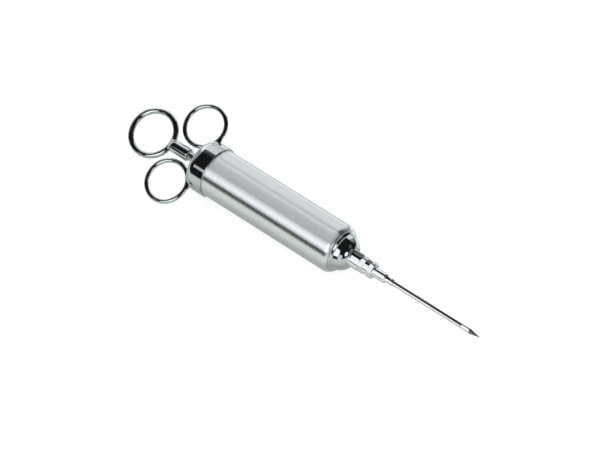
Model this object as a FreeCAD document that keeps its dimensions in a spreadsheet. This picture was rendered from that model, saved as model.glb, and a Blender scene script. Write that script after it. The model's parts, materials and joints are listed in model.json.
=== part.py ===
import FreeCAD, Part
import math
import os
import re
import Sketcher

# Meat injector: a syringe-shaped marinade injector of stainless steel and chromed brass.
# Every piece is drawn in the tool's own frame: X along the barrel towards the needle's point,
# XY the plane of the finger rings, Z square to it. Stations are measured along X from the mouth
# of the screw cap. The tool then lies as it rests on a table: turned about X until the cap's rim
# and the lower finger ring are on the same level, with the origin on the table under its middle.

SIZES = {
    # barrel
    "barrel_radius": 16.5,
    "barrel_wall": 0.8,
    "barrel_engagement": 8.5,
    "neck_radius": 16.25,
    "neck_relief": 0.5,
    "barrel_front": 102.2,
    "rim_length": 3.5,
    "rim_radius": 14.8,
    "thread_pitch": 1.0,
    "thread_depth": 0.25,
    "thread_count": 6,
    # nose
    "nose_insert": 5.0,
    "nose_wall": 1.2,
    "nose_band": 2.3,
    "nose_band_end": 13.1,
    "dome_radius": 11.8,
    "dome_length": 6.8,
    "dome_arc": 9.2,
    "nose_face": 7.2,
    # nozzle
    "nozzle_radius": 5.67,
    "nozzle_front": 118.6,
    "nozzle_root": 3.5,
    "nozzle_thread": 4.1,
    "nozzle_thread_length": 5.8,
    "nozzle_bore": 1.5,
    "nozzle_thread_count": 4,
    # cap
    "cap_radius": 17.6,
    "cap_length": 14.7,
    "cap_round": 6.0,
    "cap_end_wall": 1.5,
    "cap_seat": 10.1,
    "cap_inner_radius": 14.4,
    "cap_hole": 4.6,
    "cap_edge": 0.35,
    "cap_clearance": 0.05,
    "gasket_thickness": 1.5,
    "gasket_inner": 14.8,
    "gasket_outer": 16.2,
    # rod bush
    "bush_radius": 5.0,
    "bush_length": 4.3,
    "bush_clench_radius": 5.6,
    "bush_clench": 0.9,
    "bush_clearance": 0.06,
    # finger rings
    "ring_mean": 14.07,
    "ring_wire": 1.62,
    "ring_offset": 21.64,
    "ring_station": 26.7,
    "foot_length": 3.7,
    "foot_width": 1.5,
    "foot_back": 12.7,
    "foot_out": 16.7,
    "foot_lean": 62.0,
    # thumb ring and stem
    "thumb_mean": 15.51,
    "thumb_wire": 2.15,
    "thumb_station": 54.9,
    "stem_radius": 4.36,
    "stem_front": 23.6,
    "stem_socket": 9.5,
    "stem_round": 1.1,
    "flare_reach": 7.5,
    "flare_depth": 2.6,
    "flare_thickness": 2.9,
    # rod
    "rod_radius": 3.0,
    "rod_end_radius": 2.5,
    "rod_end_chamfer": 0.5,
    # piston
    "piston_front": 96.8,
    "piston_length": 20.0,
    "piston_radius": 15.4,
    "piston_edge": 0.8,
    "seal_wire": 1.6,
    "seal_play": 0.05,
    "seal_inset": 4.6,
    "washer_radius": 8.0,
    "washer_thickness": 1.2,
    "piston_nut_flats": 8.0,
    "piston_nut_height": 4.0,
    # hub nut
    "hub_nut_length": 10.4,
    "hub_nut_flats": 10.0,
    "hub_nut_radius": 5.5,
    "hub_nut_waist": 4.95,
    "hub_nut_band": 3.5,
    "hub_nut_end": 3.3,
    "hub_nut_edge": 0.5,
    "hub_nut_wall": 2.56,
    "hub_play": 0.06,
    # needle
    "hub_radius": 3.3,
    "hub_front": 138.3,
    "hub_flange_radius": 4.0,
    "hub_flange": 1.2,
    "hub_edge": 0.5,
    "hub_washer_thickness": 0.75,
    "hub_washer_radius": 3.9,
    "hub_washer_hole": 1.3,
    "neck_start_radius": 2.3,
    "neck_end_radius": 1.9,
    "neck_length": 3.0,
    "collar_radius": 2.15,
    "collar_length": 2.5,
    "collar_round": 0.5,
    "needle_radius": 1.55,
    "needle_seat_radius": 1.25,
    "needle_bore": 1.0,
    "needle_front": 203.4,
    "port_length": 7.0,
    "port_width": 1.5,
    "port_land": 0.6,
    "tip_length": 7.6,
    "tip_point": 0.15,
    "tip_plug": 0.5,
}

ROLL = "asin((cap_radius - ring_wire) / (ring_offset + ring_mean))"
MIDDLE = "(needle_front + tip_length - thumb_station - thumb_mean - thumb_wire) / 2"
BORE = "(barrel_radius - barrel_wall)"
RIM_ARC = "((rim_length ^ 2 + (barrel_radius - rim_radius) ^ 2) / (2 * (barrel_radius - rim_radius)))"
PISTON_REAR = "(piston_front - piston_length)"
COLLAR_FRONT = "(hub_front + neck_length + collar_length)"
HUB_REAR = "(nozzle_front + nozzle_thread_length + hub_play + hub_washer_thickness)"

doc = FreeCAD.newDocument("meat_injector")
sheet = doc.addObject("Spreadsheet::Sheet", "Sizes")
for row, (alias, size) in enumerate(SIZES.items(), start=1):
    sheet.set(f"A{row}", alias)
    sheet.set(f"B{row}", str(size))
    sheet.setAlias(f"B{row}", alias)
doc.recompute()


def bound(formula):
    """The formula with each size's name written as a reference to its cell."""
    return re.sub(r"[a-z]\w*", lambda word: f"Sizes.{word[0]}" if word[0] in SIZES else word[0], formula)


def value(formula):
    """The formula's present value, as a plain number."""
    result = sheet.evalExpression(formula)
    return float(getattr(result, "Value", result))


def lay_down(piece, station):
    """Place a piece at its station on the axis of the tool as it lies on the table."""
    piece.Placement = FreeCAD.Placement(FreeCAD.Vector(), FreeCAD.Rotation(FreeCAD.Vector(1, 0, 0), 1))
    piece.setExpression("Placement.Base.x", bound(f"{station} - {MIDDLE}"))
    piece.setExpression("Placement.Base.z", bound("cap_radius"))
    piece.setExpression("Placement.Rotation.Angle", bound(ROLL))
    return piece


def origin_plane(body, role):
    return next(feature for feature in body.Origin.OriginFeatures if feature.Role == role)


def section(body, name, corners, arcs=None):
    """A closed half-section (distance along X, radius); arcs gives the centre of a corner's curved side."""
    arcs = arcs or {}
    sketch = body.newObject("Sketcher::SketchObject", name)
    sketch.AttachmentSupport = (origin_plane(body, "XZ_Plane"), [""])
    sketch.MapMode = "FlatFace"
    points = [FreeCAD.Vector(value(along), value(radius), 0) for along, radius in corners]
    ends = []
    for index, start in enumerate(points):
        finish = points[(index + 1) % len(points)]
        if index in arcs:
            centre = FreeCAD.Vector(value(arcs[index][0]), value(arcs[index][1]), 0)
            forward = (start - centre).cross(finish - centre).z > 0
            first, last = (start, finish) if forward else (finish, start)
            circle = Part.Circle(centre, FreeCAD.Vector(0, 0, 1), (start - centre).Length)
            angles = [math.atan2(*(point - centre)[1::-1]) for point in (first, last)]
            sketch.addGeometry(Part.ArcOfCircle(circle, *angles), False)
            ends.append((1, 2) if forward else (2, 1))
        else:
            sketch.addGeometry(Part.LineSegment(start, finish), False)
            ends.append((1, 2))
    for index in range(len(points)):
        after = (index + 1) % len(points)
        sketch.addConstraint(Sketcher.Constraint("Coincident", index, ends[index][1], after, ends[after][0]))
    for index, corner in enumerate(corners):
        pin_point(sketch, index, ends[index][0], "DistanceX", corner[0], -2)
        pin_point(sketch, index, ends[index][0], "DistanceY", corner[1], -1)
    for index, centre in arcs.items():
        pin_point(sketch, index, 3, "DistanceX", centre[0], -2)
    return sketch


def pin_point(sketch, edge, end, direction, formula, axis):
    """Hold one point of the sketch at a bound distance from the origin, or on the axis."""
    if value(formula) == 0:
        sketch.addConstraint(Sketcher.Constraint("PointOnObject", edge, end, axis))
        return
    number = sketch.addConstraint(Sketcher.Constraint(direction, -1, 1, edge, end, value(formula)))
    sketch.setExpression(f"Constraints[{number}]", bound(formula))


def blank(name, corners, arcs=None):
    """A half-section revolved about X, at its own zero."""
    body = doc.addObject("PartDesign::Body", name)
    turning = body.newObject("PartDesign::Revolution", f"{name}_turning")
    turning.Profile = section(body, f"{name}_section", corners, arcs)
    turning.ReferenceAxis = (turning.Profile[0], ["H_Axis"])
    turning.Angle = 360
    body.Tip = turning
    return body


def turned(name, station, corners, arcs=None):
    """A piece turned on a lathe, laid down at its station."""
    return lay_down(blank(name, corners, arcs), station)


def cut_grooves(body, name, corners, count, pitch):
    """Cut one turned groove and repeat it along the axis."""
    doc.recompute()
    before = body.Shape.Volume
    groove = body.newObject("PartDesign::Groove", name)
    groove.Profile = section(body, f"{name}_section", corners)
    groove.ReferenceAxis = (groove.Profile[0], ["H_Axis"])
    groove.Angle = 360
    pattern = body.newObject("PartDesign::LinearPattern", f"{name}_pattern")
    pattern.Originals = [groove]
    pattern.Direction = (groove.Profile[0], ["H_Axis"])
    pattern.setExpression("Occurrences", bound(count))
    pattern.setExpression("Length", bound(f"{pitch} * ({count} - 1)"))
    body.Tip = pattern
    doc.recompute()
    if body.Shape.Volume >= before:
        raise RuntimeError(f"{name} removed nothing")


def primitive(kind, name, place=None, turn=None, **sizes):
    """A Part primitive whose sizes are bound to the sheet, at a bound place in the tool's frame."""
    solid = doc.addObject(kind, name)
    for prop, formula in sizes.items():
        solid.setExpression(prop, bound(formula))
    solid.Placement = FreeCAD.Placement(FreeCAD.Vector(), turn or FreeCAD.Rotation())
    for axis, formula in zip("xyz", place or ()):
        solid.setExpression(f"Placement.Base.{axis}", bound(formula))
    return solid


ALONG_X = FreeCAD.Rotation(FreeCAD.Vector(0, 1, 0), 90)


# ---- barrel ----

def barrel_tube():
    """Thin tube, its front rim spun inwards over the nose, its neck turned down and threaded."""
    length = "(barrel_engagement + barrel_front)"
    rim = f"({length} - rim_length)"
    tube = turned("barrel_tube", "-barrel_engagement", [
        ("0", BORE),
        (rim, BORE),
        (length, "rim_radius - barrel_wall"),
        (length, "rim_radius"),
        (rim, "barrel_radius"),
        ("barrel_engagement + neck_relief", "barrel_radius"),
        ("barrel_engagement + neck_relief", "neck_radius"),
        ("0", "neck_radius"),
    ], {3: (rim, f"barrel_radius - {RIM_ARC}")})
    cut_grooves(tube, "tube_thread", [
        ("thread_pitch * 0.7", "neck_radius - thread_depth"),
        ("thread_pitch * 0.9", "neck_radius - thread_depth"),
        ("thread_pitch * 1.2", "neck_radius + thread_depth"),
        ("thread_pitch * 0.4", "neck_radius + thread_depth"),
    ], "thread_count", "thread_pitch")
    return tube


def nose_cap():
    """Pressed stepped dome: a lip inside the tube, a bright band, then a dome with a flat face."""
    joint = "(nose_insert - rim_length)"
    face = "(nose_insert + nose_band + dome_length)"
    step = "(nose_insert + nose_band)"
    return turned("nose_cap", "barrel_front - nose_insert", [
        ("0", f"{BORE} - nose_wall"),
        (f"{joint} + nose_wall", f"{BORE} - nose_wall"),
        ("nose_insert", "nose_band_end - nose_wall"),
        (f"{step}", "dome_radius - nose_wall"),
        (f"{face} - nose_wall", "nose_face - nose_wall"),
        (f"{face} - nose_wall", "nozzle_root"),
        (face, "nozzle_root"),
        (face, "nose_face"),
        (step, "dome_radius"),
        (step, "nose_band_end"),
        ("nose_insert", "rim_radius"),
        ("nose_insert", "rim_radius - barrel_wall"),
        (joint, BORE),
        ("0", BORE),
    ], {
        3: (f"{step} - 1.5", "dome_radius - dome_arc + 1.0"),
        7: (f"{step} - 1.5", "dome_radius - dome_arc + 1.0"),
    })


def nozzle():
    """Turned nozzle soldered into the nose, with the thread that takes the hub nut."""
    root = "(nose_wall + 0.4)"
    shoulder = f"({root} + nozzle_front - barrel_front - nose_band - dome_length)"
    end = f"({shoulder} + nozzle_thread_length)"
    piece = turned("nozzle", f"nozzle_front - {shoulder}", [
        ("0", "nozzle_bore"),
        (end, "nozzle_bore"),
        (end, "nozzle_thread - 0.3"),
        (f"{end} - 0.3", "nozzle_thread"),
        (shoulder, "nozzle_thread"),
        (shoulder, "nozzle_radius - 0.3"),
        (f"{shoulder} - 0.3", "nozzle_radius"),
        (root, "nozzle_radius"),
        (root, "nozzle_root"),
        ("0", "nozzle_root"),
    ])
    cut_grooves(piece, "nozzle_thread_cut", [
        (f"{shoulder} + thread_pitch * 0.7", "nozzle_thread - thread_depth"),
        (f"{shoulder} + thread_pitch * 0.9", "nozzle_thread - thread_depth"),
        (f"{shoulder} + thread_pitch * 1.2", "nozzle_thread + thread_depth"),
        (f"{shoulder} + thread_pitch * 0.4", "nozzle_thread + thread_depth"),
    ], "nozzle_thread_count", "thread_pitch")
    return piece


# ---- screw cap ----

def end_cap():
    """Polished cap: cylinder, rounded shoulder, flat rear face with the hole of the rod bush."""
    bore = "(neck_radius + cap_clearance)"
    seat = "(cap_length - cap_seat)"
    cap = turned("end_cap", "-cap_length", [
        ("0", "cap_hole"),
        ("cap_end_wall", "cap_hole"),
        ("cap_end_wall", "cap_radius - cap_round"),
        (seat, "cap_inner_radius"),
        (seat, bore),
        ("cap_length", bore),
        ("cap_length", "cap_radius - cap_edge"),
        ("cap_length - cap_edge", "cap_radius"),
        ("cap_round", "cap_radius"),
        ("0", "cap_radius - cap_round"),
    ], {8: ("cap_round", "cap_radius - cap_round")})
    cut_grooves(cap, "cap_thread", [
        (f"{seat} + gasket_thickness + thread_pitch * 0.9", f"{bore} + thread_depth"),
        (f"{seat} + gasket_thickness + thread_pitch * 1.1", f"{bore} + thread_depth"),
        (f"{seat} + gasket_thickness + thread_pitch * 1.4", f"{bore} - thread_depth"),
        (f"{seat} + gasket_thickness + thread_pitch * 0.6", f"{bore} - thread_depth"),
    ], "thread_count", "thread_pitch")
    return cap


def cap_gasket():
    """Flat rubber ring that the cap presses against the end of the tube."""
    return turned("cap_gasket", "-cap_seat + cap_clearance", [
        ("0", "gasket_inner"),
        ("gasket_thickness", "gasket_inner"),
        ("gasket_thickness", "gasket_outer"),
        ("0", "gasket_outer"),
    ])


def rod_bush():
    """Guide bush of the rod, clenched over inside the cap's end wall."""
    bore = "(rod_radius + bush_clearance)"
    inside = "(bush_length + cap_end_wall)"
    return turned("rod_bush", "-cap_length - bush_length", [
        ("0", bore),
        (f"{inside} + bush_clench", bore),
        (f"{inside} + bush_clench", "bush_clench_radius"),
        (inside, "bush_clench_radius"),
        (inside, "cap_hole"),
        ("bush_length", "cap_hole"),
        ("bush_length", "bush_radius"),
        ("cap_edge", "bush_radius"),
        ("0", "bush_radius - cap_edge"),
    ])


def finger_ring(name, side):
    """Wire ring in the XY plane with the small foot by which it is brazed to the cap's shoulder."""
    wire = primitive("Part::Torus", f"{name}_wire", ("0", f"{side} * ring_offset", "0"),
                     Radius1="ring_mean", Radius2="ring_wire")
    lean = FreeCAD.Rotation(FreeCAD.Vector(0, 0, 1), side * SIZES["foot_lean"])
    foot = primitive("Part::Ellipsoid", f"{name}_foot",
                     ("ring_station - foot_back", f"{side} * foot_out", "0"), lean,
                     Radius1="foot_width", Radius2="foot_length", Radius3="foot_width")
    ring = doc.addObject("Part::Fuse", name)
    ring.Base = wire
    ring.Tool = foot
    return lay_down(ring, "-ring_station")


# ---- plunger ----

def plunger_rod():
    """Rod screwed into the stem, shouldered and threaded where it holds the piston."""
    rear = "(stem_front + stem_socket)"
    shoulder = f"({rear} + {PISTON_REAR} - washer_thickness)"
    end = f"({rear} + piston_front + washer_thickness + piston_nut_height + 0.8)"
    return turned("plunger_rod", f"-{rear}", [
        ("0", "0"),
        (end, "0"),
        (end, "rod_end_radius - rod_end_chamfer"),
        (f"{end} - rod_end_chamfer", "rod_end_radius"),
        (shoulder, "rod_end_radius"),
        (shoulder, "rod_radius"),
        ("rod_end_chamfer", "rod_radius"),
        ("0", "rod_radius - rod_end_chamfer"),
    ])


def thumb_ring():
    """Cast thumb ring swelling into a round stem, bored to take the end of the rod."""
    wire = primitive("Part::Torus", "thumb_wire_ring", Radius1="thumb_mean", Radius2="thumb_wire")
    flare = primitive("Part::Ellipsoid", "thumb_flare", ("thumb_mean - 0.4", "0", "0"),
                      Radius1="flare_thickness", Radius2="flare_depth", Radius3="flare_reach")
    start = "(thumb_mean + 0.6)"
    front = "(thumb_station - stem_front)"
    stem = blank("thumb_stem", [
        (start, "0"),
        (f"{front} - stem_socket", "0"),
        (f"{front} - stem_socket", "rod_radius"),
        (front, "rod_radius"),
        (front, "stem_radius - stem_round"),
        (f"{front} - stem_round", "stem_radius"),
        (f"{start} + 1.6", "stem_radius"),
        (start, "flare_thickness"),
    ], {4: (f"{front} - stem_round", "stem_radius - stem_round")})
    swelling = doc.addObject("Part::Fuse", "thumb_swelling")
    swelling.Base = wire
    swelling.Tool = flare
    ring = doc.addObject("Part::Fuse", "thumb_ring")
    ring.Base = swelling
    ring.Tool = stem
    return lay_down(ring, "-thumb_station")


def piston_head():
    """Turned piston with two seal grooves and a recess in its rear face."""
    head = turned("piston_head", PISTON_REAR, [
        ("0", "rod_end_radius"),
        ("piston_length", "rod_end_radius"),
        ("piston_length", "piston_radius - piston_edge"),
        ("piston_length - piston_edge", "piston_radius"),
        ("piston_edge", "piston_radius"),
        ("0", "piston_radius - piston_edge"),
    ])
    groove_floor = f"({BORE} - 2 * seal_wire - 2 * seal_play)"
    near = "(seal_inset - seal_wire - seal_play)"
    far = "(seal_inset + seal_wire + seal_play)"
    cut_grooves(head, "seal_groove", [
        (near, groove_floor),
        (far, groove_floor),
        (far, "piston_radius + seal_wire"),
        (near, "piston_radius + seal_wire"),
    ], "2", "(piston_length - 2 * seal_inset)")
    return head


def seal_ring(name, inset):
    """Rubber O-ring in the piston's groove, running along the bore."""
    return primitive("Part::Torus", name, (f"{PISTON_REAR} + {inset} - {MIDDLE}", "0", "cap_radius"), ALONG_X,
                     Radius1=f"{BORE} - seal_wire - seal_play", Radius2="seal_wire")


def washer(name, station):
    """Flat washer on the threaded end of the rod."""
    return turned(name, station, [
        ("0", "rod_end_radius"),
        ("washer_thickness", "rod_end_radius"),
        ("washer_thickness", "washer_radius"),
        ("0", "washer_radius"),
    ])


def piston_nut():
    """Hexagon nut that holds the piston on the rod."""
    prism = primitive("Part::Prism", "piston_nut_prism", turn=ALONG_X,
                      Circumradius="piston_nut_flats / sqrt(3)", Height="piston_nut_height")
    prism.Polygon = 6
    hole = primitive("Part::Cylinder", "piston_nut_hole", turn=ALONG_X,
                     Radius="rod_end_radius", Height="piston_nut_height")
    nut = doc.addObject("Part::Cut", "piston_nut")
    nut.Base = prism
    nut.Tool = hole
    return lay_down(nut, "piston_front + washer_thickness")


# ---- needle set ----

def hub_nut():
    """Nut with two hexagon bands and a round waist; its end wall holds the needle's flange."""
    bore = "(nozzle_thread + hub_play)"
    turning = blank("hub_nut_blank", [
        ("0", bore),
        ("hub_nut_length - hub_nut_wall", bore),
        ("hub_nut_length - hub_nut_wall", "hub_radius + hub_play"),
        ("hub_nut_length", "hub_radius + hub_play"),
        ("hub_nut_length", "hub_nut_radius - hub_nut_edge * 2"),
        ("hub_nut_length - hub_nut_edge * 2", "hub_nut_radius"),
        ("hub_nut_length - hub_nut_end", "hub_nut_radius"),
        ("hub_nut_length - hub_nut_end", "hub_nut_waist"),
        ("hub_nut_band", "hub_nut_waist"),
        ("hub_nut_band", "hub_nut_radius"),
        ("hub_nut_edge", "hub_nut_radius"),
        ("0", "hub_nut_radius - hub_nut_edge"),
    ], {4: ("hub_nut_length - hub_nut_edge * 2", "hub_nut_radius - hub_nut_edge * 2")})
    hexagon = primitive("Part::Prism", "hub_nut_hexagon", turn=ALONG_X,
                        Circumradius="hub_nut_flats / sqrt(3)", Height="hub_nut_length")
    hexagon.Polygon = 6
    nut = doc.addObject("Part::Common", "hub_nut")
    nut.Base = turning
    nut.Tool = hexagon
    return lay_down(nut, "nozzle_front + hub_play")


def needle_hub():
    """Turned hub of the needle: the flange that the nut pulls on, and the round sleeve in front."""
    length = f"(hub_front - {HUB_REAR})"
    return turned("needle_hub", HUB_REAR, [
        ("0", "needle_seat_radius"),
        (length, "needle_seat_radius"),
        (length, "hub_radius - hub_edge"),
        (f"{length} - hub_edge", "hub_radius"),
        ("hub_flange", "hub_radius"),
        ("hub_flange", "hub_flange_radius"),
        ("0", "hub_flange_radius"),
    ])


def hub_washer():
    """Rubber washer between the nozzle and the hub."""
    return turned("hub_washer", f"{HUB_REAR} - hub_washer_thickness", [
        ("0", "hub_washer_hole"),
        ("hub_washer_thickness", "hub_washer_hole"),
        ("hub_washer_thickness", "hub_washer_radius"),
        ("0", "hub_washer_radius"),
    ])


def needle_neck():
    """Tapered sleeve crimped on the needle in front of its hub."""
    return turned("needle_neck", "hub_front", [
        ("0", "needle_seat_radius"),
        ("neck_length", "needle_seat_radius"),
        ("neck_length", "neck_end_radius"),
        ("0", "neck_start_radius"),
    ])


def needle_collar():
    """Rounded bead that ends the neck."""
    return turned("needle_collar", "hub_front + neck_length", [
        ("0", "needle_seat_radius"),
        ("collar_length", "needle_seat_radius"),
        ("collar_length", "collar_radius - collar_round"),
        ("collar_length - collar_round", "collar_radius"),
        ("collar_round", "collar_radius"),
        ("0", "collar_radius - collar_round"),
    ])


def needle_tube():
    """Hollow needle, drawn down where the hub holds it, with an oblong port through both walls."""
    length = f"(needle_front - {HUB_REAR})"
    seat = f"({COLLAR_FRONT} - {HUB_REAR})"
    tube = blank("needle_drawn", [
        ("0", "needle_bore"),
        (length, "needle_bore"),
        (length, "needle_radius"),
        (seat, "needle_radius"),
        (seat, "needle_seat_radius"),
        ("0", "needle_seat_radius"),
    ])
    front = f"({length} - port_land - port_width / 2)"
    rear = f"({front} - port_length + port_width)"
    slot = primitive("Part::Box", "port_slot", (rear, "-port_width / 2", "-2 * needle_radius"),
                     Length="port_length - port_width", Width="port_width", Height="4 * needle_radius")
    ends = [primitive("Part::Cylinder", f"port_{name}", (where, "0", "-2 * needle_radius"),
                      Radius="port_width / 2", Height="4 * needle_radius")
            for name, where in (("rear", rear), ("front", front))]
    cutter = doc.addObject("Part::MultiFuse", "port_cutter")
    cutter.Shapes = [slot, *ends]
    needle = doc.addObject("Part::Cut", "needle_tube")
    needle.Base = tube
    needle.Tool = cutter
    return lay_down(needle, HUB_REAR)


def needle_tip():
    """Solid ground point with a short plug inside the tube."""
    return turned("needle_tip", "needle_front - tip_plug", [
        ("0", "0"),
        ("tip_plug + tip_length", "0"),
        ("tip_plug + tip_length", "tip_point"),
        ("tip_plug", "needle_radius"),
        ("tip_plug", "needle_bore"),
        ("0", "needle_bore"),
    ])


pieces = [
    barrel_tube(),
    nose_cap(),
    nozzle(),
    end_cap(),
    cap_gasket(),
    rod_bush(),
    finger_ring("upper_finger_ring", 1),
    finger_ring("lower_finger_ring", -1),
    plunger_rod(),
    thumb_ring(),
    piston_head(),
    washer("piston_back_washer", f"{PISTON_REAR} - washer_thickness"),
    washer("piston_front_washer", "piston_front"),
    piston_nut(),
    seal_ring("rear_seal_ring", "seal_inset"),
    seal_ring("front_seal_ring", "(piston_length - seal_inset)"),
    hub_nut(),
    needle_hub(),
    hub_washer(),
    needle_neck(),
    needle_collar(),
    needle_tube(),
    needle_tip(),
]

doc.recompute()
for thing in doc.Objects:
    if "Invalid" in thing.State or "Error" in thing.State:
        raise RuntimeError(f"{thing.Name} failed: {thing.State}")
for piece in pieces:
    if piece.Shape.isNull() or not piece.Shape.isValid():
        raise RuntimeError(f"{piece.Label} has no valid shape")

os.makedirs("parts", exist_ok=True)
for piece in pieces:
    piece.Shape.exportStep(f"parts/{piece.Label}.step")
    print(f"{piece.Label}: {piece.Shape.Volume:.1f} mm3, {len(piece.Shape.Solids)} solid")
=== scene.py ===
import json
import math

import bmesh
import bpy
from mathutils import Matrix, Vector


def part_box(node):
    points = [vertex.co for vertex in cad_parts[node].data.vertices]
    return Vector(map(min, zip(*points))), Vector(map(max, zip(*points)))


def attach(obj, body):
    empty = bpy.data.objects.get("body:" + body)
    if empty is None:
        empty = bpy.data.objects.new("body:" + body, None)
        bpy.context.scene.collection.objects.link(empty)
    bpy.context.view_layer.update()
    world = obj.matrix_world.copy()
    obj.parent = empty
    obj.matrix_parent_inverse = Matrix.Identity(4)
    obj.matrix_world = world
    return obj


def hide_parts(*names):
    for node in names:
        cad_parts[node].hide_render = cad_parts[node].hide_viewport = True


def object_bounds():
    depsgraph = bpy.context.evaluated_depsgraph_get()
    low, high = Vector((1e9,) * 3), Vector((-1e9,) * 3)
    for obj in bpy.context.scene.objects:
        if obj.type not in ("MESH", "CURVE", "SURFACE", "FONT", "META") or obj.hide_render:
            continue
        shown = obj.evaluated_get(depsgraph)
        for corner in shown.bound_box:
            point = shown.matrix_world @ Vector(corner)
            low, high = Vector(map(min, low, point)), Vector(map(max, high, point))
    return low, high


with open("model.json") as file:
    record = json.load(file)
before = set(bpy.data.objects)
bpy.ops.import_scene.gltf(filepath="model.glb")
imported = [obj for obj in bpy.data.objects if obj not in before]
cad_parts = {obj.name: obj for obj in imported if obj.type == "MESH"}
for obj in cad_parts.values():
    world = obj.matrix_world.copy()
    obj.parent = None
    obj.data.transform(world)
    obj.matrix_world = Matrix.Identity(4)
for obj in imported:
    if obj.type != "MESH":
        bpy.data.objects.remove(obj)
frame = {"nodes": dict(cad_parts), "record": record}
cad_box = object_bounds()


# ---- The table and the camera -------------------------------------------------------------
# The tool lies on a plain white sheet. The lens is long and looks down on the barrel from the
# needle's side, so that the tool runs from the upper left to the lower right.

middle = (cad_box[0] + cad_box[1]) / 2
azimuth, elevation = math.radians(39.563), math.radians(49.355)
towards_camera = Vector((
    math.sin(azimuth) * math.cos(elevation),
    -math.cos(azimuth) * math.cos(elevation),
    math.sin(elevation),
))
looked_at = Vector((0.0003, -0.0011, middle.z + 0.0015))
stand_off = 1.7495
camera = bpy.data.objects.new("camera", bpy.data.cameras.new("camera"))
bpy.context.scene.collection.objects.link(camera)
camera.data.lens = 166.4
camera.data.sensor_width = 36.0
camera.data.clip_end = 60.0
camera.location = looked_at + towards_camera * stand_off
camera.rotation_mode = "QUATERNION"
camera.rotation_quaternion = (-towards_camera).to_track_quat("-Z", "Y")
bpy.context.scene.camera = camera
bpy.context.scene.view_settings.view_transform = "Standard"


def node(tree, kind, settings=None, **inputs):
    """Add a shader node, set its fields, and fill or link its inputs by name, or by number as _0."""
    made = tree.nodes.new(kind)
    for field, setting in (settings or {}).items():
        setattr(made, field, setting)
    for name, source in inputs.items():
        socket = made.inputs[int(name[1:])] if name[1:].isdigit() else made.inputs[name.replace("_", " ")]
        if isinstance(source, bpy.types.NodeSocket):
            tree.links.new(source, socket)
        else:
            socket.default_value = source
    return made


bpy.ops.mesh.primitive_plane_add(size=30.0, location=(0, 0, 0))
sheet = bpy.context.active_object
sheet.name = "table_sheet"
paper = bpy.data.materials.new("white_paper")
paper.use_nodes = True
paper_shader = paper.node_tree.nodes["Principled BSDF"]
paper_shader.inputs["Base Color"].default_value = (0.46, 0.46, 0.46, 1)
paper_shader.inputs["Roughness"].default_value = 1.0
paper_shader.inputs["Specular IOR Level"].default_value = 0.0
paper_shader.inputs["Emission Color"].default_value = (1, 1, 1, 1)
paper_shader.inputs["Emission Strength"].default_value = 0.72
sheet.data.materials.append(paper)
sheet.visible_glossy = False


# ---- The studio ---------------------------------------------------------------------------
# A darkened room over a white table, with soft boxes: a wide one low in front of the tool, a dim
# one behind it, and small ones past the rings and past the needle. The sheet gets an even light.

studio = bpy.data.worlds.new("studio")
bpy.context.scene.world = studio
studio.use_nodes = True
room = studio.node_tree
room.nodes.clear()
direction = node(room, "ShaderNodeTexCoord").outputs["Generated"]
parts = node(room, "ShaderNodeSeparateXYZ", Vector=direction).outputs
height = parts["Z"]
table_glow = node(room, "ShaderNodeMapRange", {"interpolation_type": "SMOOTHSTEP"}, Value=height,
                  From_Min=-0.04, From_Max=-0.18, To_Min=0.0, To_Max=0.80).outputs["Result"]
under = node(room, "ShaderNodeMapRange", {"interpolation_type": "SMOOTHSTEP"}, Value=height,
             From_Min=-0.40, From_Max=-0.90, To_Min=1.0, To_Max=0.62).outputs["Result"]
behind = node(room, "ShaderNodeMapRange", {"interpolation_type": "SMOOTHSTEP"}, Value=parts["Y"],
              From_Min=0.2, From_Max=0.8, To_Min=1.0, To_Max=0.78).outputs["Result"]
table_light = node(room, "ShaderNodeMath", {"operation": "MULTIPLY"}, _0=table_glow, _1=under).outputs[0]
table_light = node(room, "ShaderNodeMath", {"operation": "MULTIPLY"}, _0=table_light, _1=behind).outputs[0]
soft_boxes = [
    # towards            full within, nothing beyond (degrees), brightness
    ((0.12, -0.83, 0.54), 18, 24, 1.7),
    ((-0.415, -0.78, 0.47), 3, 7, 0.65),
    ((0.61, -0.78, 0.12), 8, 20, 0.9),
    ((0.96, -0.17, 0.22), 7, 14, 1.5),
    ((-0.50, 0.80, 0.33), 30, 40, 0.08),
    ((0.09, 0.96, 0.26), 10, 26, 0.30),
    ((-0.73, 0.29, 0.62), 4, 9, 1.2),
    ((-0.90, 0.30, 0.33), 26, 44, 0.42),
    ((0.10, 0.87, -0.49), 12, 24, 0.5),
    ((0.73, 0.49, 0.47), 4, 14, 0.11),
    ((0.94, 0.33, 0.05), 8, 18, 0.18),
]
glow = 0.012
for towards, inner, outer, brightness in soft_boxes:
    facing = node(room, "ShaderNodeVectorMath", {"operation": "DOT_PRODUCT"},
                  _0=direction, _1=Vector(towards).normalized()).outputs["Value"]
    lit = node(room, "ShaderNodeMapRange", {"interpolation_type": "SMOOTHSTEP"}, Value=facing,
               From_Min=math.cos(math.radians(outer)), From_Max=math.cos(math.radians(inner)),
               To_Min=0.0, To_Max=brightness).outputs["Result"]
    glow = node(room, "ShaderNodeMath", {"operation": "ADD"}, _0=lit, _1=glow).outputs["Value"]
boxes = node(room, "ShaderNodeBackground", Color=(0.93, 0.965, 1.0, 1), Strength=glow)
table = node(room, "ShaderNodeBackground", Color=(0.93, 1.0, 0.94, 1), Strength=table_light)
seen = node(room, "ShaderNodeAddShader", _0=boxes.outputs[0], _1=table.outputs[0])
even = node(room, "ShaderNodeBackground", Color=(1, 1, 1, 1), Strength=1.0)
mirrored = node(room, "ShaderNodeLightPath").outputs["Is Glossy Ray"]
both = node(room, "ShaderNodeMixShader", _0=mirrored, _1=even.outputs[0], _2=seen.outputs[0])
node(room, "ShaderNodeOutputWorld", Surface=both.outputs[0])


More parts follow.
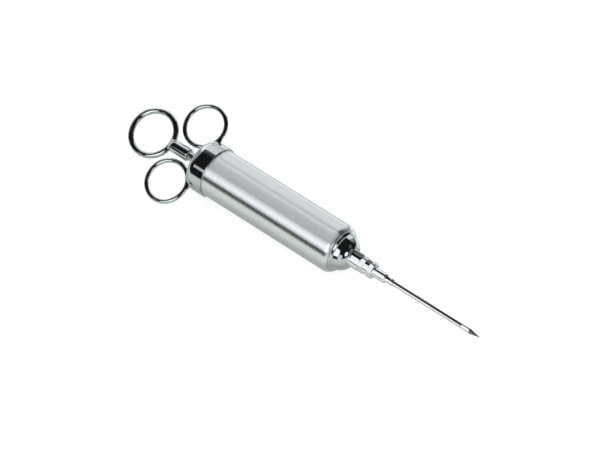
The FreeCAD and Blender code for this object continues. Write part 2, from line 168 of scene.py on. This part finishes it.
# ---- Barrel tube --------------------------------------------------------------------------
# A thin drawn tube of stainless steel, linished round and round to a satin face. Its front rim
# is spun inwards over the nose; the covered end carries the fine thread of the screw cap.

axis_height = next(m for m in frame["record"]["mounts"] if m["name"] == "barrel_body")["pos_m"][2]
mm = 0.001


def deselect():
    """Leave edit mode, with nothing selected."""
    if bpy.context.object and bpy.context.object.mode != "OBJECT":
        bpy.ops.object.mode_set(mode="OBJECT")
    bpy.ops.object.select_all(action="DESELECT")


def turn(name, station, outline, steps, bevel=0.0):
    """Draw a piece's half section point by point (mm along, mm out), then spin it about the axis."""
    deselect()
    start = Vector((station + outline[0][0] * mm, 0, axis_height + outline[0][1] * mm))
    bpy.ops.mesh.primitive_plane_add(size=mm, location=(0, 0, 0))
    piece = bpy.context.active_object
    piece.name = name
    bpy.ops.object.mode_set(mode="EDIT")
    bpy.ops.mesh.select_mode(type="VERT")
    bpy.ops.mesh.select_all(action="SELECT")
    bpy.ops.mesh.merge(type="CENTER")
    bpy.ops.transform.translate(value=start)
    closed = outline + [outline[0]]
    for before, after in zip(closed, closed[1:]):
        step = Vector((after[0] - before[0], 0, after[1] - before[1])) * mm
        bpy.ops.mesh.extrude_region_move(TRANSFORM_OT_translate={"value": step})
    bpy.ops.mesh.select_all(action="SELECT")
    bpy.ops.mesh.remove_doubles(threshold=1e-6)
    bpy.ops.mesh.select_all(action="SELECT")
    bpy.ops.mesh.spin(steps=steps, angle=math.tau, center=(0, 0, axis_height), axis=(1, 0, 0))
    bpy.ops.mesh.select_all(action="SELECT")
    bpy.ops.mesh.remove_doubles(threshold=1e-6)
    bpy.ops.mesh.select_all(action="SELECT")
    bpy.ops.mesh.normals_make_consistent(inside=False)
    bpy.ops.object.mode_set(mode="OBJECT")
    if bevel:
        break_edges(piece, bevel)
    smooth(piece)
    return piece


def break_edges(piece, width):
    """Round the sharp edges of a finished shape."""
    edge = piece.modifiers.new("broken_edges", "BEVEL")
    edge.width = width * mm
    edge.segments = 3
    edge.limit_method = "ANGLE"
    edge.angle_limit = math.radians(30)
    bpy.context.view_layer.objects.active = piece
    bpy.ops.object.modifier_apply(modifier=edge.name)


def smooth(piece, angle=32.0):
    """Shade the gentle edges smooth, and keep the broad faces true right up to their edges."""
    deselect()
    piece.select_set(True)
    bpy.context.view_layer.objects.active = piece
    bpy.ops.object.shade_smooth_by_angle(angle=math.radians(angle))
    true_faces = piece.modifiers.new("true_faces", "WEIGHTED_NORMAL")
    true_faces.weight = 75
    true_faces.keep_sharp = True
    bpy.ops.object.modifier_apply(modifier=true_faces.name)
    deselect()


def arc(centre, radius, start, finish, count):
    """Points of a round stretch of an outline, angles in degrees from the axis direction."""
    angles = [math.radians(start + (finish - start) * k / count) for k in range(count + 1)]
    return [(centre[0] + radius * math.cos(a), centre[1] + radius * math.sin(a)) for a in angles]


def metal(name, colour, roughness, anisotropy=0.0):
    """A bare metal; returns the material, its node tree and its shader."""
    made = bpy.data.materials.new(name)
    made.use_nodes = True
    shader = made.node_tree.nodes["Principled BSDF"]
    shader.inputs["Metallic"].default_value = 1.0
    shader.inputs["Base Color"].default_value = (*colour, 1)
    shader.inputs["Roughness"].default_value = roughness
    shader.inputs["Anisotropic"].default_value = anisotropy
    return made, made.node_tree, shader


def vary_gloss(tree, shader, pattern, smoothest, roughest, low=0.3, high=0.7):
    """Let a pattern, as it goes from low to high, move the roughness between two values."""
    gloss = node(tree, "ShaderNodeMapRange", Value=pattern, From_Min=low, From_Max=high,
                 To_Min=smoothest, To_Max=roughest)
    tree.links.new(gloss.outputs[0], shader.inputs["Roughness"])


def cover(piece, material, slot, body, *stands_for):
    """Give a piece its finish and its body, and hide the CAD nodes that it stands for."""
    piece.data.materials.clear()
    piece.data.materials.append(material)
    if stands_for:
        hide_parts(*stands_for)
    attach(piece, body)


satin, tree, shader = metal("satin_steel", (0.80, 0.81, 0.82), 0.26, 1.0)
coords = node(tree, "ShaderNodeTexCoord").outputs["Object"]
round_grain = node(tree, "ShaderNodeMapping", Vector=coords, Scale=(9000, 120, 120)).outputs[0]
grain = node(tree, "ShaderNodeTexNoise", Vector=round_grain, Scale=1.0, Detail=6.0, Roughness=0.6)
vary_gloss(tree, shader, grain.outputs["Fac"], 0.24, 0.28)
tint = node(tree, "ShaderNodeMix", {"data_type": "RGBA"}, Factor=grain.outputs["Fac"])
tint.inputs[6].default_value = (0.80, 0.815, 0.82, 1)
tint.inputs[7].default_value = (0.83, 0.84, 0.85, 1)
tree.links.new(tint.outputs[2], shader.inputs["Base Color"])
scratches = node(tree, "ShaderNodeBump", Strength=0.05, Distance=0.00002, Height=grain.outputs["Fac"])
tree.links.new(scratches.outputs[0], shader.inputs["Normal"])
lathe = node(tree, "ShaderNodeTangent", {"direction_type": "RADIAL", "axis": "X"})
tree.links.new(lathe.outputs[0], shader.inputs["Tangent"])
shader.inputs["Anisotropic Rotation"].default_value = 0.25

tube_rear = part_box("barrel_tube")[0].x
tube_length = (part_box("barrel_tube")[1].x - tube_rear) / mm
tube_radius, neck_radius, tube_wall, rim_round, thread_pitch = 16.5, 16.25, 0.8, 4.45, 1.0
rim_centre = (tube_length - 3.5, tube_radius - rim_round)
thread = []
for ridge in range(6):
    at = 0.7 + ridge * thread_pitch
    thread += [(at, neck_radius - 0.05), (at + 0.15, neck_radius - 0.25), (at + 0.3, neck_radius - 0.25),
               (at + 0.45, neck_radius - 0.05), (at + 0.6, neck_radius)]
barrel = turn("barrel", tube_rear, [
    (0, tube_radius - tube_wall),
    (tube_length - 3.5, tube_radius - tube_wall),
    (tube_length, 14.0),
    *arc(rim_centre, rim_round, 38.2, 90, 12),
    (9.1, tube_radius),
    (9.0, tube_radius - 0.1),
    (9.0, neck_radius),
    *reversed(thread),
    (0.3, neck_radius),
    (0, neck_radius - 0.3),
], steps=192)
cover(barrel, satin, "satin_barrel", "barrel", "barrel_tube")


# ---- Nose ---------------------------------------------------------------------------------
# A pressed brass dome, chromed and buffed: a bright band against the tube's rim, a step, then
# the dome with its small flat face. Its skirt is soldered inside the tube.

chrome, tree, shader = metal("polished_chrome", (0.62, 0.635, 0.64), 0.05)
coords = node(tree, "ShaderNodeTexCoord").outputs["Object"]
haze = node(tree, "ShaderNodeTexNoise", Vector=coords, Scale=260.0, Detail=5.0, Roughness=0.55)
vary_gloss(tree, shader, haze.outputs["Fac"], 0.03, 0.09, low=0.35, high=0.75)
ripple = node(tree, "ShaderNodeTexNoise", Vector=coords, Scale=420.0, Detail=2.0)
orange_peel = node(tree, "ShaderNodeBump", Strength=0.06, Distance=0.0001, Height=ripple.outputs["Fac"])
tree.links.new(orange_peel.outputs[0], shader.inputs["Normal"])

nose_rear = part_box("nose_cap")[0].x
band, step, face = 5.0, 7.3, 14.1
nose = turn("nose", nose_rear, [
    (0, 14.5),
    (2.7, 14.5),
    (band, 11.9),
    (step, 10.6),
    (step + 2.5, 9.2),
    (step + 4.3, 7.4),
    (face - 1.2, 6.0),
    (face - 1.2, 3.5),
    (face, 3.5),
    *arc((step - 2.2, 1.9), 10.65, 29, 68, 12),
    (step - 0.35, 12.35),
    (step - 0.5, 13.0),
    (step - 0.9, 13.45),
    (step - 1.6, 14.05),
    (band + 0.35, 14.75),
    (band + 0.1, 14.7),
    (band, 14.0),
    (1.5, 15.68),
    (0, 15.68),
], steps=160)
cover(nose, chrome, "polished_chrome", "barrel", "nose_cap")


# ---- Nozzle -------------------------------------------------------------------------------
# A turned spigot soldered through the nose's face. Its front half is threaded for the hub nut.
# The small turned pieces are plated with a lighter copy of the dome's chrome: painted light, which
# brightens their lower side.

# Plating colour raised above the chrome's: painted light that makes these pieces' reflections brighter.
lightened_plating, tree, shader = metal("plating_lightened_for_painted_light", (0.90, 0.90, 0.91), 0.05)
coords = node(tree, "ShaderNodeTexCoord").outputs["Object"]
polish = node(tree, "ShaderNodeTexNoise", Vector=coords, Scale=500.0, Detail=4.0)
vary_gloss(tree, shader, polish.outputs["Fac"], 0.04, 0.10, low=0.35)
turning = node(tree, "ShaderNodeTexWave", {"bands_direction": "X"}, Vector=coords, Scale=1600.0,
               Distortion=0.3)
tool_marks = node(tree, "ShaderNodeBump", Strength=0.05, Distance=0.00002, Height=turning.outputs["Fac"])
tree.links.new(tool_marks.outputs[0], shader.inputs["Normal"])

nozzle_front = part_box("nozzle")[1].x
shoulder, root = -5.8, -13.1
screw = [(shoulder + 0.9 + k * 1.0 + dx, r) for k in range(4)
         for dx, r in ((0, 4.1), (0.2, 3.8), (0.35, 3.8), (0.55, 4.1))]
nozzle = turn("nozzle_spigot", nozzle_front, [
    (0, 1.5),
    (0, 3.8),
    (-0.3, 4.1),
    *reversed(screw),
    (shoulder, 4.1),
    (shoulder, 5.4),
    (shoulder - 0.27, 5.67),
    (root + 0.5, 5.67),
    (root, 6.1),
    (root, 3.5),
    (root - 1.6, 3.5),
    (root - 1.6, 1.5),
], steps=96, bevel=0.08)
cover(nozzle, lightened_plating, "polished_chrome", "barrel", "nozzle")


# ---- Screw cap ----------------------------------------------------------------------------
# Pressed brass, chromed: a plain cylinder, a round shoulder and a flat back with a hole for the
# rod's bush. A fine inside thread takes it onto the tube.

cap_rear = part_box("end_cap")[0].x
cap_radius, cap_round, cap_length = 17.6, 6.0, 14.7
cap_thread = [(6.9 + k * 1.0 + dx, r) for k in range(6)
              for dx, r in ((0, 16.3), (0.2, 16.55), (0.35, 16.55), (0.55, 16.3))]
cap = turn("screw_cap", cap_rear, [
    (0, 4.6),
    (1.5, 4.6),
    (1.5, 11.6),
    (4.6, 14.4),
    (4.6, 16.3),
    *cap_thread,
    (cap_length - 0.2, 16.3),
    (cap_length, 16.5),
    (cap_length, 17.35),
    (cap_length - 0.1, 17.52),
    (cap_length - 0.3, 17.6),
    *arc((cap_round, cap_radius - cap_round), cap_round, 90, 180, 16),
], steps=192)
cover(cap, chrome, "polished_chrome", "cap", "end_cap")


# ---- Rod bush -----------------------------------------------------------------------------
# A turned bush clenched into the cap's back, which guides the rod.

bush_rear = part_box("rod_bush")[0].x
bush = turn("guide_bush", bush_rear, [
    (0, 3.35),
    (0.3, 3.07),
    (6.7, 3.07),
    (6.7, 5.6),
    (5.8, 5.6),
    (5.8, 4.6),
    (4.3, 4.6),
    (4.3, 5.0),
    (3.6, 5.0),
    (3.4, 4.75),
    (3.1, 4.75),
    (2.9, 5.0),
    (0.5, 5.0),
    (0, 4.5),
], steps=96, bevel=0.12)
cover(bush, chrome, "polished_chrome", "cap", "rod_bush")


# ---- Finger rings -------------------------------------------------------------------------
# Two rings of round chromed wire, brazed to the cap's shoulder. Where each meets the cap a foot
# swells out of the wire and runs into the cap's side.

ring_mean, ring_wire, ring_out = 14.07, 1.62, 21.64
ring_behind_mouth = 26.7
ring_station = cap_rear + (cap_length - ring_behind_mouth) * mm
ring_roll = math.asin((cap_radius - ring_wire) / (ring_out + ring_mean))


def apply_place(piece):
    """Move a piece's place and turn into its mesh."""
    deselect()
    piece.select_set(True)
    bpy.context.view_layer.objects.active = piece
    bpy.ops.object.transform_apply(location=True, rotation=True, scale=True)
    deselect()


def select_faces(piece, wanted):
    """In edit mode, select the faces whose centre and normal pass the test."""
    mesh = bmesh.from_edit_mesh(piece.data)
    for facet in mesh.faces:
        facet.select_set(False)
    for facet in mesh.faces:
        if wanted(facet.calc_center_median(), facet.normal):
            facet.select_set(True)
    mesh.select_flush(True)
    bmesh.update_edit_mesh(piece.data)


def roll_to_rest(piece):
    """Turn a ring about the tool's axis to the way that the tool lies."""
    bpy.context.view_layer.update()
    piece.matrix_world = (Matrix.Translation((0, 0, axis_height)) @ Matrix.Rotation(ring_roll, 4, "X")
                          @ Matrix.Translation((0, 0, -axis_height)) @ piece.matrix_world)
    apply_place(piece)


def finger_ring(name, side, node_name):
    """One ring: a wire hoop with a foot drawn out of it, laid at its side of the cap."""
    deselect()
    bpy.ops.mesh.primitive_torus_add(major_radius=ring_mean * mm, minor_radius=ring_wire * mm,
                                     major_segments=72, minor_segments=12, location=(0, 0, 0))
    ring = bpy.context.active_object
    ring.name = name
    # the foot: a patch of the wire's outer side, drawn out towards the side of the cap
    towards = math.radians(-16.0)
    bpy.ops.object.mode_set(mode="EDIT")
    bpy.ops.mesh.select_mode(type="FACE")
    select_faces(ring, lambda c, n: abs(math.atan2(c.y, c.x) - towards) < math.radians(9)
                 and n.x * math.cos(towards) + n.y * math.sin(towards) > 0.45)
    foot_run = Vector((1.0, -2.3, 0)) * mm
    for share, narrower in ((0.45, 0.92), (0.55, 0.9)):
        bpy.ops.mesh.extrude_region_move(TRANSFORM_OT_translate={"value": foot_run * share})
        bpy.ops.transform.resize(value=(narrower, narrower, narrower))
    bpy.ops.object.mode_set(mode="OBJECT")
    round_off = ring.modifiers.new("drawn_wire", "SUBSURF")
    round_off.levels = round_off.render_levels = 2
    bpy.context.view_layer.objects.active = ring
    bpy.ops.object.modifier_apply(modifier=round_off.name)
    if side < 0:
        ring.scale.y = -1
    ring.location = (ring_station, side * ring_out * mm, axis_height)
    roll_to_rest(ring)
    bpy.context.view_layer.objects.active = ring
    bpy.ops.object.mode_set(mode="EDIT")
    bpy.ops.mesh.select_all(action="SELECT")
    bpy.ops.mesh.normals_make_consistent(inside=False)
    bpy.ops.object.mode_set(mode="OBJECT")
    smooth(ring, 60)
    cover(ring, chrome, "polished_chrome", "cap", node_name)


finger_ring("finger_ring_upper", 1, "upper_finger_ring")
finger_ring("finger_ring_lower", -1, "lower_finger_ring")


# ---- Thumb ring ---------------------------------------------------------------------------
# One casting, chromed: a ring a third thicker than the finger rings that swells into a round
# stem. The stem is bored for the rod's end and rounded over in front.

thumb_mean, thumb_wire, stem_radius = 15.51, 2.15, 4.36
thumb_behind_mouth = 54.9
thumb_centre = cap_rear + (cap_length - thumb_behind_mouth) * mm
stem_front, socket_end = 31.3, 21.8

deselect()
bpy.ops.mesh.primitive_torus_add(major_radius=thumb_mean * mm, minor_radius=thumb_wire * mm,
                                 major_segments=72, minor_segments=12, location=(0, 0, 0))
thumb_ring = bpy.context.active_object
thumb_ring.name = "thumb_ring_casting"
bpy.ops.object.mode_set(mode="EDIT")
bpy.ops.mesh.select_mode(type="FACE")
select_faces(thumb_ring, lambda c, n: abs(math.atan2(c.y, c.x)) < math.radians(12.4) and n.x > 0.2)
bpy.ops.mesh.extrude_region_move(TRANSFORM_OT_translate={"value": (0.9 * mm, 0, 0)})
bpy.ops.transform.resize(value=(1, 1.12, 1.64))
bpy.ops.mesh.extrude_region_move(TRANSFORM_OT_translate={"value": (1.6 * mm, 0, 0)})
bpy.ops.transform.resize(value=(0.2, 1.0, 1.15))
bpy.ops.object.mode_set(mode="OBJECT")
round_off = thumb_ring.modifiers.new("cast_swell", "SUBSURF")
round_off.levels = round_off.render_levels = 2
bpy.context.view_layer.objects.active = thumb_ring
bpy.ops.object.modifier_apply(modifier=round_off.name)
thumb_ring.location = (thumb_centre, 0, axis_height)
roll_to_rest(thumb_ring)
smooth(thumb_ring, 60)
cover(thumb_ring, chrome, "polished_chrome", "plunger", "thumb_ring")

stem = turn("thumb_stem", thumb_centre, [
    (17.2, 0.0001),
    (socket_end, 0.0001),
    (socket_end, 3.0),
    (stem_front - 0.3, 3.0),
    (stem_front, 3.3),
    *arc((stem_front - 1.1, stem_radius - 1.1), 1.1, 0, 90, 6),
    (18.6, stem_radius),
    (17.4, 4.1),
    (16.8, 3.4),
], steps=96)
cover(stem, chrome, "polished_chrome", "plunger")


# ---- Plunger rod --------------------------------------------------------------------------
# Ground stainless rod, shouldered and threaded in front for the piston.

ground, tree, shader = metal("ground_steel", (0.78, 0.79, 0.80), 0.12)
coords = node(tree, "ShaderNodeTexCoord").outputs["Object"]
drawn = node(tree, "ShaderNodeMapping", Vector=coords, Scale=(2600, 300, 300)).outputs[0]
lines = node(tree, "ShaderNodeTexNoise", Vector=drawn, Scale=1.0, Detail=4.0)
vary_gloss(tree, shader, lines.outputs["Fac"], 0.08, 0.17)

rod_rear, rod_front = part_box("plunger_rod")[0].x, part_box("plunger_rod")[1].x
rod_shoulder = (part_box("piston_back_washer")[0].x - rod_rear) / mm
rod_length = (rod_front - rod_rear) / mm
rod = turn("rod", rod_rear, [
    (0, 0.0001),
    (rod_length, 0.0001),
    (rod_length, 2.0),
    (rod_length - 0.5, 2.48),
    (rod_shoulder, 2.48),
    (rod_shoulder, 2.98),
    (0.5, 2.98),
    (0, 2.5),
], steps=64, bevel=0.06)
cover(rod, ground, "rod_steel", "plunger", "plunger_rod")


# ---- Hub nut ------------------------------------------------------------------------------
# Turned from hexagon bar and plated, its colour lightened as painted light: two hexagon bands with their
# corners turned off, a round waist between them, and a rounded front end that holds in the needle's flange.

nut_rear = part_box("hub_nut")[0].x
nut_length = (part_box("hub_nut")[1].x - nut_rear) / mm
across_flats = 10.0
nut = turn("hub_nut_turned", nut_rear, [
    (0, 4.3),
    (0.2, 4.16),
    (nut_length - 2.5, 4.16),
    (nut_length - 2.5, 3.36),
    (nut_length - 0.2, 3.36),
    (nut_length, 3.6),
    (nut_length, 4.4),
    *arc((nut_length - 1.2, 4.3), 1.2, 30, 90, 5),
    (nut_length - 3.15, 5.5),
    (nut_length - 3.35, 5.3),
    (nut_length - 3.45, 4.95),
    (3.65, 4.95),
    (3.55, 5.3),
    (3.35, 5.5),
    (0.6, 5.5),
    (0, 5.0),
], steps=96)
deselect()
bpy.ops.mesh.primitive_cylinder_add(vertices=6, radius=across_flats / math.sqrt(3) * mm,
                                    depth=(nut_length + 2) * mm, location=(0, 0, 0),
                                    rotation=(0, math.pi / 2, 0))
bar = bpy.context.active_object
bar.location = (nut_rear + nut_length / 2 * mm, 0, axis_height)
roll_to_rest(bar)
milled = nut.modifiers.new("hexagon", "BOOLEAN")
milled.operation = "INTERSECT"
milled.solver = "EXACT"
milled.object = bar
bpy.context.view_layer.objects.active = nut
bpy.ops.object.modifier_apply(modifier=milled.name)
bpy.data.objects.remove(bar)
smooth(nut, 20)
cover(nut, lightened_plating, "polished_chrome", "hub_nut_body", "hub_nut")


# ---- Needle hub ---------------------------------------------------------------------------
# Turned and plated, its colour lightened as painted light; its flange stays inside the nut and the plain
# sleeve shows in front.

hub_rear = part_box("needle_hub")[0].x
hub_length = (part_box("needle_hub")[1].x - hub_rear) / mm
hub = turn("hub_sleeve", hub_rear, [
    (0, 1.26),
    (hub_length, 1.26),
    (hub_length, 2.6),
    (hub_length - 0.25, 2.95),
    (hub_length - 0.7, 3.3),
    (1.2, 3.3),
    (1.2, 4.0),
    (0, 4.0),
], steps=80, bevel=0.1)
cover(hub, lightened_plating, "polished_chrome", "needle", "needle_hub")


# ---- Needle -------------------------------------------------------------------------------
# Hard-drawn stainless tube with a tapered neck sleeve and a bead crimped on behind it, a long
# port milled through both walls, and a solid ground point brazed into the end.

bright, tree, shader = metal("needle_steel", (0.80, 0.79, 0.77), 0.10)
coords = node(tree, "ShaderNodeTexCoord").outputs["Object"]
drawn = node(tree, "ShaderNodeMapping", Vector=coords, Scale=(90, 2600, 2600)).outputs[0]
lines = node(tree, "ShaderNodeTexNoise", Vector=drawn, Scale=1.0, Detail=4.0)
vary_gloss(tree, shader, lines.outputs["Fac"], 0.06, 0.13)

neck_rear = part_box("needle_neck")[0].x
neck = turn("neck_sleeve", neck_rear, [
    (0, 1.26),
    (3.0, 1.26),
    (3.0, 1.85),
    (1.6, 1.9),
    (0.5, 2.15),
    (0, 2.6),
], steps=64, bevel=0.05)
cover(neck, bright, "needle_steel", "needle", "needle_neck")

collar_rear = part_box("needle_collar")[0].x
collar = turn("neck_bead", collar_rear, [
    (0, 1.26),
    (2.5, 1.26),
    *arc((1.8, 1.5), 0.65, 0, 90, 5),
    *arc((0.7, 1.5), 0.65, 90, 180, 5),
], steps=64)
cover(collar, bright, "needle_steel", "needle", "needle_collar")

tube_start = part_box("needle_tube")[0].x
shank = (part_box("needle_tube")[1].x - tube_start) / mm
held = (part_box("needle_collar")[1].x - tube_start) / mm
needle = turn("needle_shank", tube_start, [
    (0, 1.0),
    (shank, 1.0),
    (shank, 1.55),
    (held, 1.55),
    (held, 1.25),
    (0, 1.25),
], steps=48, bevel=0.04)
port_length, port_width = 7.0, 1.5
port_middle = shank - 0.6 - port_length / 2
straight = (port_length - port_width) / 2 * mm
deselect()
bpy.ops.mesh.primitive_cylinder_add(vertices=32, radius=port_width / 2 * mm, depth=8 * mm,
                                    location=(0, 0, 0))
cutter = bpy.context.active_object
for vertex in cutter.data.vertices:
    vertex.co.x += straight if vertex.co.x > 0 else -straight
cutter.location = (tube_start + port_middle * mm, 0, axis_height)
roll_to_rest(cutter)
milled = needle.modifiers.new("port", "BOOLEAN")
milled.operation = "DIFFERENCE"
milled.solver = "EXACT"
milled.object = cutter
bpy.context.view_layer.objects.active = needle
bpy.ops.object.modifier_apply(modifier=milled.name)
bpy.data.objects.remove(cutter)
smooth(needle, 30)
cover(needle, bright, "needle_steel", "needle", "needle_tube")

tip_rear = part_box("needle_tip")[0].x
tip_length = (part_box("needle_tip")[1].x - tip_rear) / mm
tip = turn("needle_point", tip_rear, [
    (0, 0.0001),
    (tip_length, 0.0001),
    (tip_length - 0.05, 0.12),
    (tip_length - 2.5, 0.62),
    (1.2, 1.46),
    (0.5, 1.55),
    (0.5, 0.99),
    (0, 0.99),
], steps=48)
# The point's steel is painted dark: its colour stands in for the dark room that the point reflects.
dark_reflection_point, tree, shader = metal("point_painted_dark", (0.20, 0.20, 0.205), 0.3)
coords = node(tree, "ShaderNodeTexCoord").outputs["Object"]
wheel_marks = node(tree, "ShaderNodeMapping", Vector=coords, Scale=(3000, 200, 200)).outputs[0]
marks = node(tree, "ShaderNodeTexNoise", Vector=wheel_marks, Scale=1.0, Detail=3.0)
vary_gloss(tree, shader, marks.outputs["Fac"], 0.22, 0.38)
cover(tip, dark_reflection_point, "needle_steel", "needle", "needle_tip")


# ---- Panels -------------------------------------------------------------------------------
# Long light panels beside the tool and a round one behind it, each set to light only its own
# pieces: they give the satin tube its even bands and the needle set its bright side.

panel_length, panel_distance, panel_middle = 3.0, 1.1, -0.5


def area_light(name, power, colour, lit):
    """An area light that lights only the pieces given."""
    light = bpy.data.objects.new(name, bpy.data.lights.new(name, "AREA"))
    bpy.context.scene.collection.objects.link(light)
    light.data.energy = power
    light.data.color = colour
    lit_alone = bpy.data.collections.new(f"lit_by_{name}")
    for piece in lit:
        lit_alone.objects.link(piece)
    light.light_linking.receiver_collection = lit_alone
    return light


for name, lean, width, power, lit in (
    # degrees down from overhead towards the front, then width, power and pieces
    ("ceiling_panel", 5.5, 1.42, 7.0, [barrel]),
    ("front_panel", 57.0, 0.74, 3.8, [barrel]),
    ("needle_panel", 62.0, 1.17, 12.0, [neck, collar, needle]),
    ("nozzle_panel", 48.0, 1.7, 15.5, [nozzle, nut, hub]),
):
    panel = area_light(name, power, (0.94, 0.965, 1.0), lit)
    panel.data.shape = "RECTANGLE"
    panel.data.size, panel.data.size_y = panel_length, width
    lean = math.radians(lean)
    panel.location = (panel_middle, -panel_distance * math.sin(lean),
                      axis_height + panel_distance * math.cos(lean))
    panel.rotation_euler = (lean, 0, 0)

kept_dark_behind = [sheet, nozzle, nut, neck, collar, needle]
rest_of_tool = [piece for piece in bpy.context.scene.objects
                if piece.type == "MESH" and piece not in kept_dark_behind]
back_panel = area_light("back_panel", 16.0, (0.93, 0.965, 1.0), rest_of_tool)
back_panel.data.shape = "DISK"
back_panel.data.size = 3.0
backwards = Vector((-0.50, 0.80, 0.33)).normalized()
back_panel.location = backwards * 2.2
back_panel.rotation_euler = backwards.to_track_quat("Z", "Y").to_euler()


# ---- Pieces inside ------------------------------------------------------------------------
# The piston is turned from aluminium, with steel washers and a nut; the seals are black rubber.

turned_metal, tree, shader = metal("turned_aluminium", (0.80, 0.80, 0.81), 0.3)
coords = node(tree, "ShaderNodeTexCoord").outputs["Object"]
feed = node(tree, "ShaderNodeTexWave", {"bands_direction": "X"}, Vector=coords, Scale=900.0, Distortion=0.4)
feed_marks = node(tree, "ShaderNodeBump", Strength=0.2, Distance=0.00003, Height=feed.outputs["Fac"])
tree.links.new(feed_marks.outputs[0], shader.inputs["Normal"])

rubber, tree, shader = metal("seal_rubber", (0.035, 0.035, 0.037), 0.55)
shader.inputs["Metallic"].default_value = 0.0
coords = node(tree, "ShaderNodeTexCoord").outputs["Object"]
bloom = node(tree, "ShaderNodeTexNoise", Vector=coords, Scale=700.0, Detail=4.0)
vary_gloss(tree, shader, bloom.outputs["Fac"], 0.4, 0.7, low=0.0, high=1.0)

for name, finish in (("piston_head", turned_metal), ("piston_back_washer", ground),
                     ("piston_front_washer", ground), ("piston_nut", ground),
                     ("rear_seal_ring", rubber), ("front_seal_ring", rubber),
                     ("cap_gasket", rubber), ("hub_washer", rubber)):
    inner = frame["nodes"][name]
    inner.data.materials.clear()
    inner.data.materials.append(finish)
